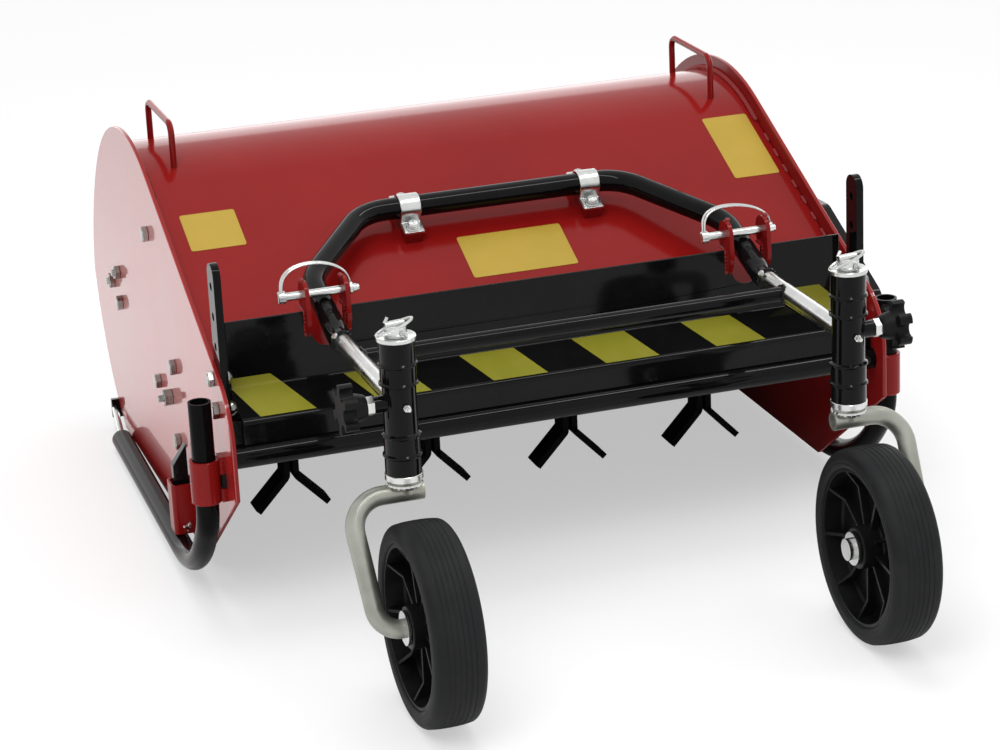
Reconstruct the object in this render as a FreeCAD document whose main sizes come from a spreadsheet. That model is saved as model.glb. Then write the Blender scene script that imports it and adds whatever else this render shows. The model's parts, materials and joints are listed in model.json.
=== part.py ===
import FreeCAD
import Part
import math
import os
from FreeCAD import Placement, Rotation, Vector

# Flail mulcher for a walk-behind tractor, in millimetres.
# Deck frame: +X to the drive side, -Y forward (caster side), +Z up, y = 0 at the guard's upright panel.

os.makedirs("parts", exist_ok=True)
doc = FreeCAD.newDocument("TractorMulcher")

sizes = {
    "deckWidth": 810, "plateThickness": 5, "sheetThickness": 3, "rimHeight": 20,
    "slopeAngle": 24.8, "topRadius": 280, "plateBottom": 48,
    "frameTube": 26.9, "frameWall": 2.6, "skidTube": 26.9, "skidBend": 200, "handleBar": 8,
    "guardWidth": 768, "guardSheet": 4, "guardBar": 26,
    "rotorTube": 89, "rotorLength": 730, "stubShaft": 30, "flailCircle": 58, "flailBlade": 8,
    "armTube": 21.3, "armSpan": 524, "crossBar": 18, "pinRod": 10,
    "wheelRadius": 112.5, "tyreWidth": 60, "rimRadius": 90.5, "casterTrail": 75, "casterReach": 290,
    "forkTube": 21.3, "forkWall": 2.6, "headTube": 40, "stemDia": 24, "axleRod": 20,
    "clampSpan": 231, "clampShift": 8, "crossTube": 70, "coverDepth": 40.5, "coverSheet": 2,
    "groundLine": 13, "parkTilt": 1.259, "parkShift": 152,
}
sheet = doc.addObject("Spreadsheet::Sheet", "Dims")
for row, (name, value) in enumerate(sizes.items(), 1):
    sheet.set("A%d" % row, name)
    sheet.set("B%d" % row, str(value))
    sheet.setAlias("B%d" % row, name)
doc.recompute()

half = sizes["deckWidth"] / 2
inner = half - sizes["plateThickness"]
slope = math.radians(sizes["slopeAngle"])
normal = Vector(0, -math.sin(slope), math.cos(slope))
xAxis, yAxis, zAxis = Vector(1, 0, 0), Vector(0, 1, 0), Vector(0, 0, 1)
nodes = {}


def keep(label, obj):
    obj.Label = label
    nodes[label] = obj
    return obj


def lines(points):
    """Sketch lines joining points in order and back to the first."""
    return [Part.LineSegment(a, b) for a, b in zip(points, points[1:] + points[:1])]


def circle(x, y, radius):
    return Part.Circle(Vector(x, y, 0), zAxis, radius)


def rounded(points, radii):
    """Closed outline through points, each corner rounded to its own radius."""
    count = len(points)
    if not isinstance(radii, (list, tuple)):
        radii = [radii] * count
    into, out, arcs = [], [], []
    for k, (here, radius) in enumerate(zip(points, radii)):
        back = (points[k - 1] - here).normalize()
        ahead = (points[(k + 1) % count] - here).normalize()
        turn = back.getAngle(ahead)
        if radius <= 0 or turn > 3.1:
            into.append(here)
            out.append(here)
            continue
        reach = radius / math.tan(turn / 2)
        middle = here + (back + ahead).normalize() * (radius / math.sin(turn / 2) - radius)
        into.append(here + back * reach)
        out.append(here + ahead * reach)
        arcs.append(Part.Arc(into[-1], middle, out[-1]))
    sides = [(out[k], into[(k + 1) % count]) for k in range(count)]
    return [Part.LineSegment(a, b) for a, b in sides if (b - a).Length > 1e-6] + arcs


def folded(points, thickness, bend):
    """Outline of sheet metal folded along points, which run through the middle of the sheet."""
    ahead = [(b - a).normalize() for a, b in zip(points, points[1:])]
    side = [Vector(-d.y, d.x, 0) for d in ahead]
    last = len(points) - 1
    left, right, leftBend, rightBend = [], [], [], []
    for k, point in enumerate(points):
        a, b = side[max(k - 1, 0)], side[min(k, last - 1)]
        offset = (a + b) * (thickness / 2 / (1 + a.dot(b)))
        left.append(point + offset)
        right.append(point - offset)
        if k in (0, last):
            leftBend.append(0)
            rightBend.append(0)
            continue
        turn = ahead[k - 1].cross(ahead[k]).z
        leftBend.append(bend - math.copysign(thickness / 2, turn))
        rightBend.append(bend + math.copysign(thickness / 2, turn))
    return rounded(left + right[::-1], leftBend + rightBend[::-1])


def padBody(name, plane, geometry, formula, base=Vector(), turn=None, midplane=False):
    """A body with one sketch on an origin plane and one pad whose length is a formula."""
    body = doc.addObject("PartDesign::Body", name)
    sketch = sketchOn(body, name + "Sketch", plane, geometry)
    pad = body.newObject("PartDesign::Pad", name + "Pad")
    pad.Profile = sketch
    pad.setExpression("Length", formula)
    if midplane:
        pad.SideType = "Symmetric"
    body.Placement = Placement(base, turn or Rotation())
    body.Tip = pad
    return body


def sketchOn(body, name, plane, geometry):
    sketch = body.newObject("Sketcher::SketchObject", name)
    for feature in body.Origin.OriginFeatures:
        if feature.Role == plane:
            sketch.AttachmentSupport = [(feature, "")]
    sketch.MapMode = "FlatFace"
    sketch.addGeometry(geometry, False)
    sketch.Visibility = False
    return sketch


def revolvedBody(name, geometry, base=Vector(), turn=None):
    """A body turned about its own Z axis from an outline in its XZ plane."""
    body = doc.addObject("PartDesign::Body", name)
    sketch = sketchOn(body, name + "Sketch", "XZ_Plane", geometry)
    revolution = body.newObject("PartDesign::Revolution", name + "Turned")
    revolution.Profile = sketch
    revolution.ReferenceAxis = (sketch, ["V_Axis"])
    revolution.Angle = 360
    body.Placement = Placement(base, turn or Rotation())
    body.Tip = revolution
    return body


def cylinder(name, radius, height, base, axis=zAxis):
    rod = doc.addObject("Part::Cylinder", name)
    for prop, size in (("Radius", radius), ("Height", height)):
        if isinstance(size, str):
            rod.setExpression(prop, size)
        else:
            setattr(rod, prop, size)
    rod.Placement = Placement(base, Rotation(zAxis, axis))
    return rod


def box(name, size, base, turn=None):
    block = doc.addObject("Part::Box", name)
    block.Length, block.Width, block.Height = size
    block.Placement = Placement(base, turn or Rotation())
    return block


def cut(name, base, tool):
    result = doc.addObject("Part::Cut", name)
    result.Base, result.Tool = base, tool
    return result


def fuse(name, *shapes):
    result = doc.addObject("Part::MultiFuse", name)
    result.Shapes = list(shapes)
    return result


def group(name, *shapes):
    result = doc.addObject("Part::Compound", name)
    result.Links = list(shapes)
    return result


def mirrored(obj):
    twin = doc.addObject("Part::Mirroring", obj.Name + "Mirror")
    twin.Source = obj
    twin.Normal = xAxis
    return twin


def pair(label, obj):
    """The left piece and its mirror image as one node."""
    return keep(label, group(label, obj, mirrored(obj)))


def bentRod(name, points, bends, formula):
    """A round rod along points: straight cylinders joined by torus bends."""
    pieces = []
    start = points[0]
    for k, bend in enumerate(bends, 1):
        here = points[k]
        back = (points[k - 1] - here).normalize()
        ahead = (points[k + 1] - here).normalize()
        turn = back.getAngle(ahead)
        centre = here + (back + ahead).normalize() * (bend / math.sin(turn / 2))
        into = here + back * (bend / math.tan(turn / 2))
        out = here + ahead * (bend / math.tan(turn / 2))
        pieces.append(cylinder("%sRun%d" % (name, k), formula, (into - start).Length, start,
                               into - start))
        elbow = doc.addObject("Part::Torus", "%sBend%d" % (name, k))
        elbow.Radius1 = bend
        elbow.setExpression("Radius2", formula)
        elbow.Angle3 = 180 - math.degrees(turn)
        spin = (into - centre).cross(out - centre)
        elbow.Placement = Placement(centre, Rotation(into - centre, Vector(), spin, "ZXY"))
        pieces.append(elbow)
        start = out
    end = points[-1]
    pieces.append(cylinder(name + "Run0", formula, (end - start).Length, start, end - start))
    return fuse(name, *pieces)


def openTube(name, points, bends, outer, bore, depth):
    """A bent tube whose two ends are bored out to a depth."""
    mouths = [cylinder("%sMouth%d" % (name, k), bore, depth + 1,
                       end + (end - after).normalize(), after - end)
              for k, (end, after) in enumerate(((points[0], points[1]), (points[-1], points[-2])))]
    return cut(name, bentRod(name + "Outer", points, bends, outer), fuse(name + "Mouths", *mouths))


# ---- side plates ------------------------------------------------------------------------
topCentre = Vector(417.6, 220, 0)
rearCentre = Vector(365.5, 159.3, 0)
crownAngle = math.radians(40.6)
rotorAxis = Vector(0, 246, 205)
gearAxis = Vector(0, 559, 258)


def rimAt(y, inset=0):
    """Point of the deck's sloping front line, set in from the side plates' rim."""
    heel = Vector(300, 474.1 - inset / math.cos(slope), 0)
    return Vector(y, heel.y + (y - heel.x) * math.tan(slope), 0)


def crown(angle, inset=0):
    """Point on the arc over the top, its angle from the vertical towards the rear."""
    return topCentre + Vector(math.sin(angle), math.cos(angle), 0) * (sizes["topRadius"] - inset)


front, knee = -88, -40
plateEdges = [
    Part.LineSegment(rimAt(knee), crown(-slope)),
    Part.Arc(crown(-slope), crown(0), crown(crownAngle)),
    Part.Arc(crown(crownAngle), Vector(690, 314, 0), Vector(713.4, 252, 0)),
    Part.Arc(Vector(713.4, 252, 0), Vector(715, 238, 0), Vector(711, 222, 0)),
    Part.Arc(Vector(711, 222, 0), Vector(669, 126, 0), Vector(585, sizes["plateBottom"], 0)),
    Part.Arc(rimAt(knee), Vector(-73, 291, 0), Vector(front, 241.6, 0)),
]
low = [Vector(585, sizes["plateBottom"], 0), Vector(105, sizes["plateBottom"], 0),
       Vector(front, 187, 0), Vector(front, 241.6, 0)]
plateEdges += [Part.LineSegment(a, b) for a, b in zip(low, low[1:])]
pair("side_plates", padBody("PlateBody", "YZ_Plane", plateEdges, "Dims.plateThickness",
                            Vector(-half, 0, 0)))

# ---- hood sheet -------------------------------------------------------------------------
hoodEnd, hoodMiddle = math.radians(64), math.radians(52)


def hoodLine(inset):
    """Front slope, crown and tail of one face of the hood, front point first."""
    top = crown(crownAngle, inset)
    reach = (top - rearCentre).Length
    tail, middle = [rearCentre + Vector(math.sin(a), math.cos(a), 0) * reach
                    for a in (hoodEnd, hoodMiddle)]
    return [rimAt(4, inset), crown(-slope, inset), crown(0, inset), top, middle, tail]


hoodEdges = []
faces = [hoodLine(sizes["rimHeight"] + depth) for depth in (0, sizes["sheetThickness"])]
for a, b, over, c, middle, tail in faces:
    hoodEdges += [Part.LineSegment(a, b), Part.Arc(b, over, c), Part.Arc(c, middle, tail)]
hoodEdges += [Part.LineSegment(faces[0][end], faces[1][end]) for end in (0, 5)]
betweenPlates = "Dims.deckWidth - 2 * Dims.plateThickness"
keep("hood_sheet", padBody("HoodBody", "YZ_Plane", hoodEdges, betweenPlates, midplane=True))

handleX, handleTop = -358, 522
handle = bentRod("Handle", [Vector(handleX, 342, 467), Vector(handleX, 342, handleTop),
                            Vector(handleX, 477, handleTop), Vector(handleX, 477, 471)],
                 [14, 14], "Dims.handleBar / 2")
crownAxis = Vector(handleX - 20, topCentre.x, topCentre.y)
pair("lifting_handles", cut("HandleCoped", handle, cylinder(
    "HandleCope", "Dims.topRadius - Dims.rimHeight", 40, crownAxis, xAxis)))
deflector = folded([Vector(476, 468, 0), Vector(488, 205, 0), Vector(500, 193, 0)], 4, 6)
keep("rear_deflector", padBody("DeflectorBody", "YZ_Plane", deflector, betweenPlates,
                               midplane=True))

# ---- front guard ------------------------------------------------------------------------
armX = sizes["armSpan"] / 2
guardLine = [Vector(2, 372, 0), Vector(2, 290, 0), Vector(-58, 270, 0), Vector(-58, 242, 0)]
guard = padBody("GuardBody", "YZ_Plane", folded(guardLine, sizes["guardSheet"], 6),
                "Dims.guardWidth", midplane=True)
notchEdges = rounded([Vector(-19, 327, 0), Vector(19, 327, 0), Vector(19, 400, 0),
                      Vector(-19, 400, 0)], [18, 18, 0, 0])
notch = padBody("GuardNotch", "XZ_Plane", notchEdges, "30", Vector(-armX, 0, 0), midplane=True)
keep("front_guard", cut("GuardNotched", guard, group("GuardNotches", notch, mirrored(notch))))
keep("guard_bar", cylinder("GuardBar", "Dims.guardBar / 2", betweenPlates,
                           Vector(-inner, -58, 229), xAxis))

# ---- ears and their lock pins -----------------------------------------------------------
pinY, pinZ = 7, 390
earLine = rounded([Vector(-9.5, 407, 0), Vector(23.5, 407, 0), Vector(23.5, 374, 0),
                   Vector(4, 372, 0), Vector(0, 372, 0), Vector(0, 337, 0),
                   Vector(-14, 360, 0)], [16, 16, 8, 0, 0, 3, 24])
ears = [padBody("Ear%s" % side, "YZ_Plane", earLine, "Dims.plateThickness", Vector(x, 0, 0))
        for side, x in (("Outer", -armX - 27), ("Inner", -armX + 21))]
pinHole = cylinder("PinHole", "Dims.pinRod / 2 + 0.05", 80, Vector(-armX - 40, pinY, pinZ), xAxis)
pair("ear_plates", cut("EarsDrilled", group("EarPair", *ears), pinHole))


def lockPin(name, start):
    """A headed round pin pushed in towards +X from its start."""
    base = Vector(start, pinY, pinZ)
    return fuse(name, cylinder(name + "Rod", "Dims.pinRod / 2", 93, base, xAxis),
                cylinder(name + "Head", 7.5, 8, base, xAxis),
                cylinder(name + "Tip", 4, 3, base + Vector(93, 0, 0), xAxis))


keep("lock_pins", group("LockPins", lockPin("LeftPin", -armX - 55), lockPin("RightPin", armX - 56)))

# ---- saddle clamps on the hood ----------------------------------------------------------
tubeAxis = Vector(0, 179, 426)
hoodAtTube = rimAt(tubeAxis.y, sizes["rimHeight"]).y
lift = (tubeAxis.z - hoodAtTube) * math.cos(slope)
foot = tubeAxis - normal * lift
tubeRadius = sizes["frameTube"] / 2
padTop = lift - tubeRadius - 0.08
strapSheet, strapWidth, footReach = 3, 26, 36


def onHood(obj, x):
    """Stand a piece drawn in the YZ plane on the hood's slope under the tube."""
    obj.Placement = Placement(Vector(x, foot.y, foot.z), Rotation(xAxis, sizes["slopeAngle"]))
    return obj


def strapLine(radius, flange, seat):
    """One face of a saddle strap from foot to foot, as points and the arc over the tube."""
    return ([Vector(-flange, seat, 0), Vector(-radius, seat, 0), Vector(-radius, lift, 0)],
            Vector(0, lift + radius, 0))


strapEdges = []
for radius, seat in ((tubeRadius + 0.08, padTop), (tubeRadius + 0.08 + strapSheet,
                                                    padTop + strapSheet)):
    (toe, heel, shoulder), over = strapLine(radius, footReach, seat)
    toe2, heel2, shoulder2 = [Vector(-p.x, p.y, 0) for p in (toe, heel, shoulder)]
    strapEdges += [Part.LineSegment(toe, heel), Part.LineSegment(heel, shoulder),
                   Part.Arc(shoulder, over, shoulder2), Part.LineSegment(shoulder2, heel2),
                   Part.LineSegment(heel2, toe2)]
for x in (-footReach, footReach):
    strapEdges.append(Part.LineSegment(Vector(x, padTop, 0), Vector(x, padTop + strapSheet, 0)))
padEdges = lines([Vector(-footReach, 0, 0), Vector(footReach, 0, 0), Vector(footReach, padTop, 0),
                  Vector(-footReach, padTop, 0)])
pads, straps = [], []
for side, x in (("Left", -sizes["clampSpan"] / 2), ("Right", sizes["clampSpan"] / 2)):
    x += sizes["clampShift"]
    pads.append(onHood(padBody(side + "Pad", "YZ_Plane", padEdges, str(strapWidth - 4),
                               midplane=True), x))
    straps.append(onHood(padBody(side + "Strap", "YZ_Plane", strapEdges, str(strapWidth),
                                 midplane=True), x))
keep("saddle_pads", group("SaddlePads", *pads))
keep("saddle_straps", group("SaddleStraps", *straps))

# ---- skids ------------------------------------------------------------------------------
skidX, skidY, skidEnd, runZ = -428, -38, 543, 46.5
toeIn = Vector(-418.5, skidEnd, runZ)
skidPoints = [Vector(skidX, skidY, 296), Vector(skidX, skidY, 150), Vector(skidX, 49, runZ), toeIn]
frameBore = "Dims.frameTube / 2 - Dims.frameWall"
pair("skid_tubes", openTube("Skid", skidPoints, [60, sizes["skidBend"]], "Dims.skidTube / 2",
                            frameBore, 80))
sleeveZ, sleeveHeight = 174, 52
sleeve = fuse("SleeveFused", cylinder("SleeveBarrel", "Dims.skidTube / 2 + 4", sleeveHeight,
                                      Vector(skidX, skidY, sleeveZ)),
              box("SleeveLug", (-half - skidX, 12, sleeveHeight), Vector(skidX, skidY + 5, sleeveZ)),
              box("SleeveEar", (16, 9, sleeveHeight - 8), Vector(skidX - 8, skidY - 24, sleeveZ + 4)))
sleeve = cut("SleeveBored", sleeve, cylinder("SleeveBore", "Dims.skidTube / 2 + 0.05", 70,
                                             Vector(skidX, skidY, sleeveZ - 9)))
pair("skid_clamps", cut("SleeveSplit", sleeve, box("SleeveSlot", (3, 20, 70),
                                                   Vector(skidX - 1.5, skidY - 30, sleeveZ - 9))))
guideY, guideDepth = 164, 26
guide = folded([Vector(-half, guideY + 14, 0), Vector(-half - guideDepth, guideY + 14, 0),
                Vector(-half - guideDepth, guideY - 14, 0), Vector(-half, guideY - 14, 0)], 3, 4)
keep("skid_guide", padBody("GuideBody", "XY_Plane", guide, "64", Vector(0, 0, 61)))
postEdges = lines([Vector(-half - 22, runZ + 13.5, 0), Vector(-half - 4, runZ + 13.5, 0),
                   Vector(-half - 4, 173, 0), Vector(-half - 22, 147, 0)])
keep("skid_post", padBody("SkidPost", "XZ_Plane", postEdges, "12", Vector(0, guideY, 0),
                          midplane=True))
runAhead = (toeIn - skidPoints[2]).normalize()
studStart, studEnd = toeIn + runAhead * 4, Vector(-half - 5, 628, 62)
endPlug = cylinder("EndPlug", "Dims.skidTube / 2", 4, toeIn, runAhead)
pair("skid_studs", cut("StudTrimmed", cylinder("RearStud", 4.5, 100, studStart, studEnd - studStart),
                       fuse("StudTrim", endPlug,
                            box("StudStop", (60, 60, 60), Vector(-half - 40, studEnd.y, 30)))))
pair("skid_lugs", group("RearLugs", endPlug, box("RearLug", (19, 6, 26),
                                                 Vector(-half - 9, studEnd.y, 49))))

# ---- upright bars -----------------------------------------------------------------------
barY, barWidth, barFoot, barTop = -20, 30, 262, 451
barEdges = rounded([Vector(barY - barWidth / 2, barFoot, 0), Vector(barY + barWidth / 2, barFoot, 0),
                    Vector(barY + barWidth / 2, barTop, 0), Vector(barY - barWidth / 2, barTop, 0)],
                   [3, 3, 14.9, 14.9])
barEdges += [circle(barY, barTop - 27 - 36 * k, 5) for k in range(3)]
pair("upright_bars", padBody("UprightBar", "YZ_Plane", barEdges, "9", Vector(-inner, 0, 0)))

# ---- drive cover ------------------------------------------------------------------------
coverPoints = [Vector(5, 284, 0), Vector(165, 358, 0), Vector(600, 345, 0), Vector(640, 300, 0),
               Vector(640, 200, 0), Vector(590, 160, 0), Vector(320, 85, 0), Vector(150, 80, 0),
               Vector(5, 180, 0)]


def insetBy(points, distance):
    """The same convex outline, clockwise, with every side moved inwards."""
    ahead = [(points[(k + 1) % len(points)] - p).normalize() for k, p in enumerate(points)]
    side = [Vector(d.y, -d.x, 0) for d in ahead]
    return [p + (side[k - 1] + side[k]) * (distance / (1 + side[k - 1].dot(side[k])))
            for k, p in enumerate(points)]


coverInner = rounded(insetBy(coverPoints, sizes["coverSheet"]), 25 - sizes["coverSheet"])
keep("drive_cover", cut("CoverHollow", padBody("CoverBody", "YZ_Plane", rounded(coverPoints, 25),
                                               "Dims.coverDepth", Vector(half, 0, 0)),
                        padBody("CoverCore", "YZ_Plane", coverInner,
                                "Dims.coverDepth - Dims.coverSheet", Vector(half, 0, 0))))

# ---- cross tube, gearbox and hitch ------------------------------------------------------
keep("cross_tube", cut("CrossTubeHollow",
                       cylinder("CrossTube", "Dims.crossTube / 2", betweenPlates,
                                Vector(-inner, gearAxis.y, gearAxis.z), xAxis),
                       cylinder("CrossTubeBore", "Dims.crossTube / 2 - 5", 2 * half,
                                Vector(-half, gearAxis.y, gearAxis.z), xAxis)))
alongX = Rotation(zAxis, xAxis)
alongY = Rotation(zAxis, yAxis)
barrelEdges = lines([Vector(0, -70, 0), Vector(58, -70, 0), Vector(60, -68, 0), Vector(60, -58, 0),
                     Vector(52, -54, 0), Vector(52, 54, 0), Vector(60, 58, 0), Vector(60, 68, 0),
                     Vector(58, 70, 0), Vector(0, 70, 0)])
neckEdges = lines([Vector(0, 20, 0), Vector(46, 20, 0), Vector(40, 80, 0), Vector(44, 87, 0),
                   Vector(58, 90, 0), Vector(58, 104, 0), Vector(0, 104, 0)])
ribs = [box("GearRib%d" % k, (8, 60, 40), Vector(-4, gearAxis.y + 30, gearAxis.z + z))
        for k, z in enumerate((20, -60))]
gear = fuse("GearFused", revolvedBody("GearBarrel", barrelEdges, gearAxis, alongX),
            revolvedBody("GearNeck", neckEdges, gearAxis, alongY), *ribs)
gearBores = fuse("GearBores", cylinder("GearBore", "Dims.crossTube / 2", 150,
                                       gearAxis - Vector(75, 0, 0), xAxis),
                 cylinder("GearShaftBore", 14, 80, gearAxis + Vector(0, 30, 0), yAxis))
keep("gearbox_housing", cut("GearCut", gear, gearBores))
spigotFace = gearAxis.y + 104
keep("hitch_spigot", cut("SpigotBored", cylinder("Spigot", 38, 110, Vector(0, spigotFace, gearAxis.z),
                                                 yAxis),
                         cylinder("SpigotBore", 28, 130, Vector(0, spigotFace - 9, gearAxis.z),
                                  yAxis)))
splineEdges = []
for k in range(6):
    edge = [math.radians(60 * k + a) for a in (0, 15, 30, 45, 60)]
    a, b, c, d, e = [Vector(math.cos(t), math.sin(t), 0) for t in edge]
    splineEdges += [Part.Arc(a * 12, b * 12, c * 12), Part.LineSegment(c * 12, c * 9.5),
                    Part.Arc(c * 9.5, d * 9.5, e * 9.5), Part.LineSegment(e * 9.5, e * 12)]
keep("input_shaft", padBody("InputShaft", "XY_Plane", splineEdges, "128",
                            gearAxis + Vector(0, 50, 0), alongY))

# ---- rear flap --------------------------------------------------------------------------
flapY, flapZ, flapWidth = 506, 178, 780
keep("flap_rod", cylinder("FlapRod", 6, betweenPlates, Vector(-inner, flapY, flapZ), xAxis))
flapEdges = rounded([Vector(flapY - 9, flapZ + 9, 0), Vector(flapY + 9, flapZ + 9, 0),
                     Vector(flapY + 9, flapZ - 9, 0), Vector(flapY + 2.5, flapZ - 14, 0),
                     Vector(flapY + 2.5, 46, 0), Vector(flapY - 2.5, 46, 0),
                     Vector(flapY - 2.5, flapZ - 14, 0), Vector(flapY - 9, flapZ - 9, 0)],
                    [8.9, 8.9, 4, 6, 0, 0, 6, 4])
flapEdges.append(circle(flapY, flapZ, 6.08))
keep("rear_flap", padBody("FlapBody", "YZ_Plane", flapEdges, str(flapWidth), midplane=True))

# ---- rotor: tube, lugs, pins and pairs of bent flails -----------------------------------
drumRadius = sizes["rotorTube"] / 2
drum = cut("DrumHollow", cylinder("Drum", "Dims.rotorTube / 2", "Dims.rotorLength",
                                  rotorAxis - Vector(sizes["rotorLength"] / 2, 0, 0), xAxis),
           cylinder("DrumBore", "Dims.rotorTube / 2 - 8", "Dims.rotorLength - 40",
                    rotorAxis + Vector(20 - sizes["rotorLength"] / 2, 0, 0), xAxis))
stub = cylinder("StubShaft", "Dims.stubShaft / 2", 2 * inner - 2, rotorAxis - Vector(inner - 1, 0, 0),
                xAxis)
pinAt, bladeAcross = sizes["flailCircle"], 34
lugEdges = lines([Vector(-20, drumRadius - 8, 0), Vector(20, drumRadius - 8, 0),
                  Vector(13, pinAt + 4, 0), Vector(6, pinAt + 12, 0), Vector(-6, pinAt + 12, 0),
                  Vector(-13, pinAt + 4, 0)])
lug = padBody("FlailLug", "YZ_Plane", lugEdges, "6", Vector(12, 0, 0))
flailPin = cylinder("FlailPin", 6, 40, Vector(-20, 0, pinAt), xAxis)
station = fuse("FlailStation", lug, mirrored(lug), flailPin)
bladeLine = [Vector(-6, -pinAt + 12, 0), Vector(-6, -124, 0), Vector(-46, -166, 0)]
blade = cut("BladeDrilled", padBody("BladeBody", "XZ_Plane",
                                    folded(bladeLine, sizes["flailBlade"], 7),
                                    str(bladeAcross), midplane=True),
            cylinder("BladeHole", 6.3, 20, Vector(-15, 0, -pinAt), xAxis))


def copyOf(obj, name, placement):
    twin = doc.addObject("Part::Compound", name)
    twin.Links = [obj]
    twin.Placement = placement
    return twin


flailPair = group("FlailPair", blade, mirrored(blade))
stations, flails = [], []
rowStarts, flailPitch = (-264, -217, -340, -310), 186
for row, start in enumerate(rowStarts):
    for k in range(4):
        spot = rotorAxis + Vector(start + flailPitch * k, 0, 0)
        name = "_%d_%d" % (row, k)
        stations.append(copyOf(station, "Station" + name,
                               Placement(spot, Rotation(xAxis, 180 + 90 * row))))
        flails.append(copyOf(flailPair, "Flails" + name, Placement(spot, Rotation(xAxis, 90 * row))))
keep("rotor_drum", fuse("DrumFused", drum, stub, *stations))
keep("flail_blades", group("FlailBlades", *flails))
housingEdges = lines([Vector(0, 0, 0), Vector(56, 0, 0), Vector(56, 8, 0), Vector(54, 10, 0),
                      Vector(34, 14, 0), Vector(31, 28, 0), Vector(29, 30, 0), Vector(0, 30, 0)])
housing = revolvedBody("Housing", housingEdges, rotorAxis - Vector(inner, 0, 0), alongX)
pair("bearing_housings", cut("HousingBored", housing,
                             cylinder("HousingBore", "Dims.stubShaft / 2 + 0.06", 50,
                                      rotorAxis - Vector(inner + 5, 0, 0), xAxis)))

# ---- wheel frame ------------------------------------------------------------------------
armZ, armFoot = 350, -49
legRise = (tubeAxis.z - armZ) / (tubeAxis.y - armFoot)


def onLeg(x, y):
    """Point of the frame's sloping plane, which holds its top run and both legs."""
    return Vector(x, y, armZ + (y - armFoot) * legRise)


framePoints = [Vector(-armX, armFoot - 12, armZ), onLeg(-armX, armFoot), onLeg(-armX, 66),
               onLeg(-166, tubeAxis.y)]
framePoints += [Vector(-p.x, p.y, p.z) for p in reversed(framePoints)]
keep("wheel_frame_tube", openTube("WheelFrame", framePoints, [60, 62, 62, 62, 62, 60],
                                  "Dims.frameTube / 2", frameBore, 4))
headAt = Vector(-armX, -sizes["casterReach"], 0)
arm = cut("ArmCoped", cylinder("ArmTube", "Dims.armTube / 2", sizes["casterReach"] - 60,
                               Vector(-armX, -58, armZ), -yAxis),
          cylinder("ArmCope", "Dims.headTube / 2 - 1.5", 60, headAt + Vector(0, 0, armZ - 30)))
pair("arm_tubes", arm)
crossY = -122
copes = [cylinder("CrossCope%d" % k, "Dims.armTube / 2", 60, Vector(x, crossY - 30, armZ), yAxis)
         for k, x in enumerate((-armX, armX))]
keep("frame_cross_bar", cut("CrossBarCoped", cylinder("CrossBar", "Dims.crossBar / 2", "Dims.armSpan",
                                                      Vector(-armX, crossY, armZ), xAxis),
                            fuse("CrossCopes", *copes)))

# ---- caster heads and swivel locks ------------------------------------------------------
headLow, headHigh, beadHeights = 274, 424, (295, 318, 376, 398)
headRadius, bossZ = sizes["headTube"] / 2, 354
headEdges = [Part.LineSegment(Vector(12.06, headLow, 0), Vector(headRadius, headLow, 0)),
             Part.LineSegment(Vector(12.06, headHigh, 0), Vector(headRadius, headHigh, 0)),
             Part.LineSegment(Vector(12.06, headLow, 0), Vector(12.06, headHigh, 0))]
level, radius = headLow, headRadius
for k, bead in enumerate(beadHeights):
    after = headRadius - 1.5 if k == 1 else headRadius
    ridge = [Vector(radius, level, 0), Vector(radius, bead - 2.5, 0),
             Vector(headRadius + 1.8, bead - 0.8, 0), Vector(headRadius + 1.8, bead + 0.8, 0),
             Vector(after, bead + 2.5, 0)]
    headEdges += [Part.LineSegment(a, b) for a, b in zip(ridge, ridge[1:])]
    level, radius = bead + 2.5, after
headEdges.append(Part.LineSegment(Vector(radius, level, 0), Vector(radius, headHigh, 0)))
barrel = revolvedBody("HeadBarrel", headEdges, headAt)
boss = cut("BossCoped", cylinder("HeadBoss", 9.5, 30, headAt + Vector(0, 0, bossZ), -xAxis),
           cylinder("BossCope", "Dims.headTube / 2 - 3", 40, headAt + Vector(0, 0, bossZ - 20)))
pair("caster_heads", fuse("HeadFused", barrel, boss))
hexRadius = 11
nutEdges = lines([Vector(hexRadius * math.cos(math.radians(60 * k)),
                         hexRadius * math.sin(math.radians(60 * k)), 0) for k in range(6)])
nut = padBody("KnobNut", "XY_Plane", nutEdges, "8", headAt + Vector(-30, 0, bossZ),
              Rotation(zAxis, -xAxis))
lobes, lobeOut, lobeIn = 6, 27, 16
starEdges = []
for k in range(lobes):
    tip, dip = [math.radians(360 / lobes * (k + part)) for part in (0, 0.5)]
    spread = math.radians(13)
    before, after, nextTip = [Vector(math.cos(t), math.sin(t), 0) * lobeOut for t in
                              (tip - spread, tip + spread, tip + math.radians(360 / lobes) - spread)]
    starEdges += [Part.Arc(before, Vector(math.cos(tip), math.sin(tip), 0) * (lobeOut + 1.5), after),
                  Part.Arc(after, Vector(math.cos(dip), math.sin(dip), 0) * lobeIn, nextTip)]
star = padBody("KnobStar", "XY_Plane", starEdges, "15", headAt + Vector(-52, 0, bossZ),
               Rotation(zAxis, -xAxis))
hubEdges = lines([Vector(0, 0, 0), Vector(12, 0, 0), Vector(13.5, 2, 0), Vector(17, 15, 0),
                  Vector(0, 15, 0)])
hub = revolvedBody("KnobHub", hubEdges, headAt + Vector(-38, 0, bossZ), Rotation(zAxis, -xAxis))
pair("swivel_lock_knobs", fuse("KnobFused", star, hub))
pair("swivel_lock_nuts", nut)

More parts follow.
